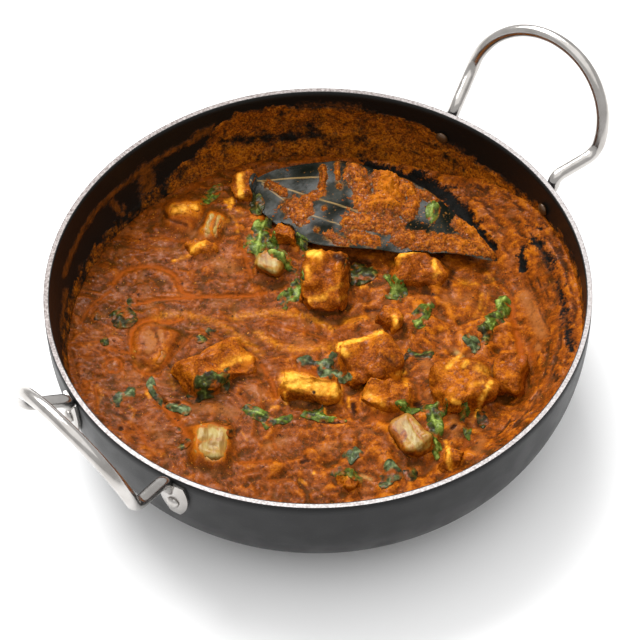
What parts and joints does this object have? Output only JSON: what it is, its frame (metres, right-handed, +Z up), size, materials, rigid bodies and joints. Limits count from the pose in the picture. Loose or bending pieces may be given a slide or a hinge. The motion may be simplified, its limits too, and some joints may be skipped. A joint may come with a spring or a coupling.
{
  "type": "kadai paneer in a karahi pan",
  "caption": "Thick spiced tomato gravy with soft orange cubes, onion, coriander and a large bay leaf, in a round dark pan with a bare rim and riveted wire loop handles.",
  "frame": {"origin": "middle of the pan's flat base, on its underside", "axes": "+Z up out of the base, +Y away from the viewer; the handles stand at the back right and the front left"},
  "size_m": [0.2829, 0.2752, 0.1245],
  "materials": {
    "pan_coating": "satin dark grey enamel outside, black non-stick coating inside, bare bright aluminium edge",
    "handle_steel": "bright stainless wire with flattened riveted ends",
    "gravy": "glossy thick orange-brown gravy with oil at its surface",
    "paneer": "soft orange-yellow pieces stained and partly covered by gravy",
    "onion": "pale translucent cooked onion",
    "coriander": "wilted green leaf",
    "bay_leaf": "dark grey-green leathery leaf with three pale veins"
  },
  "bodies": {
    "root": {"pan": "pan_coating", "handle_back_right": "handle_steel", "handle_front_left": "handle_steel", "rivet_back_right_a": "handle_steel", "rivet_back_right_b": "handle_steel", "rivet_front_left_a": "handle_steel", "rivet_front_left_b": "handle_steel", "gravy": "gravy", "gravy_on_bay_leaf": "gravy", "bay_leaf": "bay_leaf", "paneer_centre": "paneer", "paneer_under_leaf": "paneer", "paneer_ridge": "paneer", "paneer_middle": "paneer", "paneer_large": "paneer", "paneer_right": "paneer", "paneer_yellow": "paneer", "paneer_left": "paneer", "paneer_far_left": "paneer", "paneer_back": "paneer", "paneer_back_left": "paneer", "paneer_by_greens": "paneer", "paneer_front_right": "paneer", "paneer_front": "paneer", "paneer_bit_right": "paneer", "onion_front_right": "onion", "onion_front_left": "onion", "onion_back": "onion", "onion_left": "onion", "onion_back_left": "onion", "coriander_back_left": "coriander", "coriander_ribbon": "coriander", "coriander_by_leaf": "coriander", "coriander_dark": "coriander", "coriander_behind_block": "coriander", "coriander_bit": "coriander", "coriander_right": "coriander", "coriander_right_low": "coriander", "coriander_right_inner": "coriander", "coriander_over_block": "coriander", "coriander_middle": "coriander", "coriander_ruffle": "coriander", "coriander_edge": "coriander", "coriander_front": "coriander", "coriander_front_small": "coriander", "coriander_stem": "coriander", "coriander_far_left": "coriander", "coriander_under_leaf": "coriander", "coriander_left": "coriander", "coriander_by_left_block": "coriander", "coriander_sprig": "coriander", "coriander_sprig_right": "coriander", "coriander_centre": "coriander", "coriander_left_low": "coriander", "coriander_curved": "coriander", "coriander_on_bay_leaf": "coriander"}
  },
  "joints": []
}
